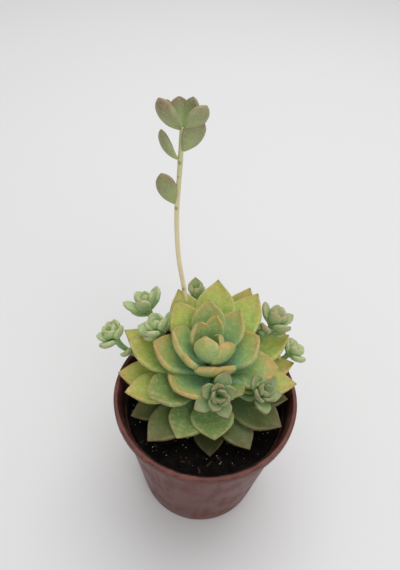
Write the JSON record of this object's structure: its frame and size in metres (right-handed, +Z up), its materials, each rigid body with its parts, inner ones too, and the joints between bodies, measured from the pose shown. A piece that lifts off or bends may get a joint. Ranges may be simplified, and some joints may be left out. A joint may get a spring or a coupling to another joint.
{
  "type": "potted succulent",
  "caption": "Rosette succulent with thick pointed leaves, small side rosettes and a tall flower stalk, growing in soil in a round tapered plastic pot.",
  "frame": {"origin": "centre of the pot's flat underside", "axes": "+Z up along the pot's axis, -Y towards the side from which the two front side rosettes show, +X to the right seen from there"},
  "size_m": [0.1061, 0.1016, 0.2052],
  "materials": {
    "pot_plastic": "reddish-brown moulded plastic, satin, dusty, with a lighter lip",
    "soil": "dark damp potting mix with crumbs, bark bits and pale grit",
    "stem_skin": "pale olive stem skin, matt",
    "stalk_skin": "creamy yellow-green stalk skin, satin",
    "old_leaf": "dull olive leaf skin with a pale edge and a brown tip, waxy",
    "grown_leaf": "lime to olive leaf skin, orange towards the tip, waxy",
    "young_leaf": "blue-green leaf skin with a yellow-orange tip, waxy",
    "side_rosette_leaf": "pale grey-green leaf skin with pink-brown tips, waxy",
    "stalk_leaf": "grey-green leaf skin with red-brown tips, waxy"
  },
  "bodies": {
    "root": {"pot": "pot_plastic", "soil": "soil", "stem": "stem_skin", "leaf_01": "old_leaf", "leaf_02": "old_leaf", "leaf_03": "old_leaf", "leaf_04": "old_leaf", "leaf_05": "old_leaf", "leaf_06": "old_leaf", "leaf_07": "old_leaf", "leaf_08": "old_leaf", "leaf_09": "old_leaf", "leaf_10": "grown_leaf", "leaf_11": "grown_leaf", "leaf_12": "grown_leaf", "leaf_13": "grown_leaf", "leaf_14": "grown_leaf", "leaf_15": "grown_leaf", "leaf_16": "grown_leaf", "leaf_17": "grown_leaf", "leaf_18": "grown_leaf", "leaf_19": "grown_leaf", "leaf_20": "grown_leaf", "leaf_21": "grown_leaf", "leaf_22": "grown_leaf", "leaf_23": "grown_leaf", "leaf_24": "grown_leaf", "leaf_25": "grown_leaf", "leaf_26": "grown_leaf", "leaf_27": "grown_leaf", "leaf_28": "grown_leaf", "leaf_29": "grown_leaf", "leaf_30": "grown_leaf", "leaf_31": "young_leaf", "leaf_32": "young_leaf", "leaf_33": "young_leaf", "leaf_34": "young_leaf", "leaf_35": "young_leaf", "leaf_36": "young_leaf", "leaf_37": "young_leaf", "leaf_38": "young_leaf", "leaf_39": "young_leaf", "leaf_40": "young_leaf", "flower_stalk": "stalk_skin", "stalk_leaf_low": "stalk_leaf", "stalk_leaf_left": "stalk_leaf", "stalk_leaf_right": "stalk_leaf", "bud_leaf_1": "stalk_leaf", "bud_leaf_2": "stalk_leaf", "bud_leaf_3": "stalk_leaf", "bud_leaf_4": "stalk_leaf", "bud_leaf_5": "stalk_leaf", "side_rosette_1": "side_rosette_leaf", "side_rosette_2": "side_rosette_leaf", "side_rosette_3": "side_rosette_leaf", "side_rosette_4": "side_rosette_leaf", "side_rosette_5": "side_rosette_leaf", "side_rosette_6": "side_rosette_leaf", "side_rosette_7": "side_rosette_leaf", "side_rosette_8": "side_rosette_leaf"}
  },
  "joints": []
}
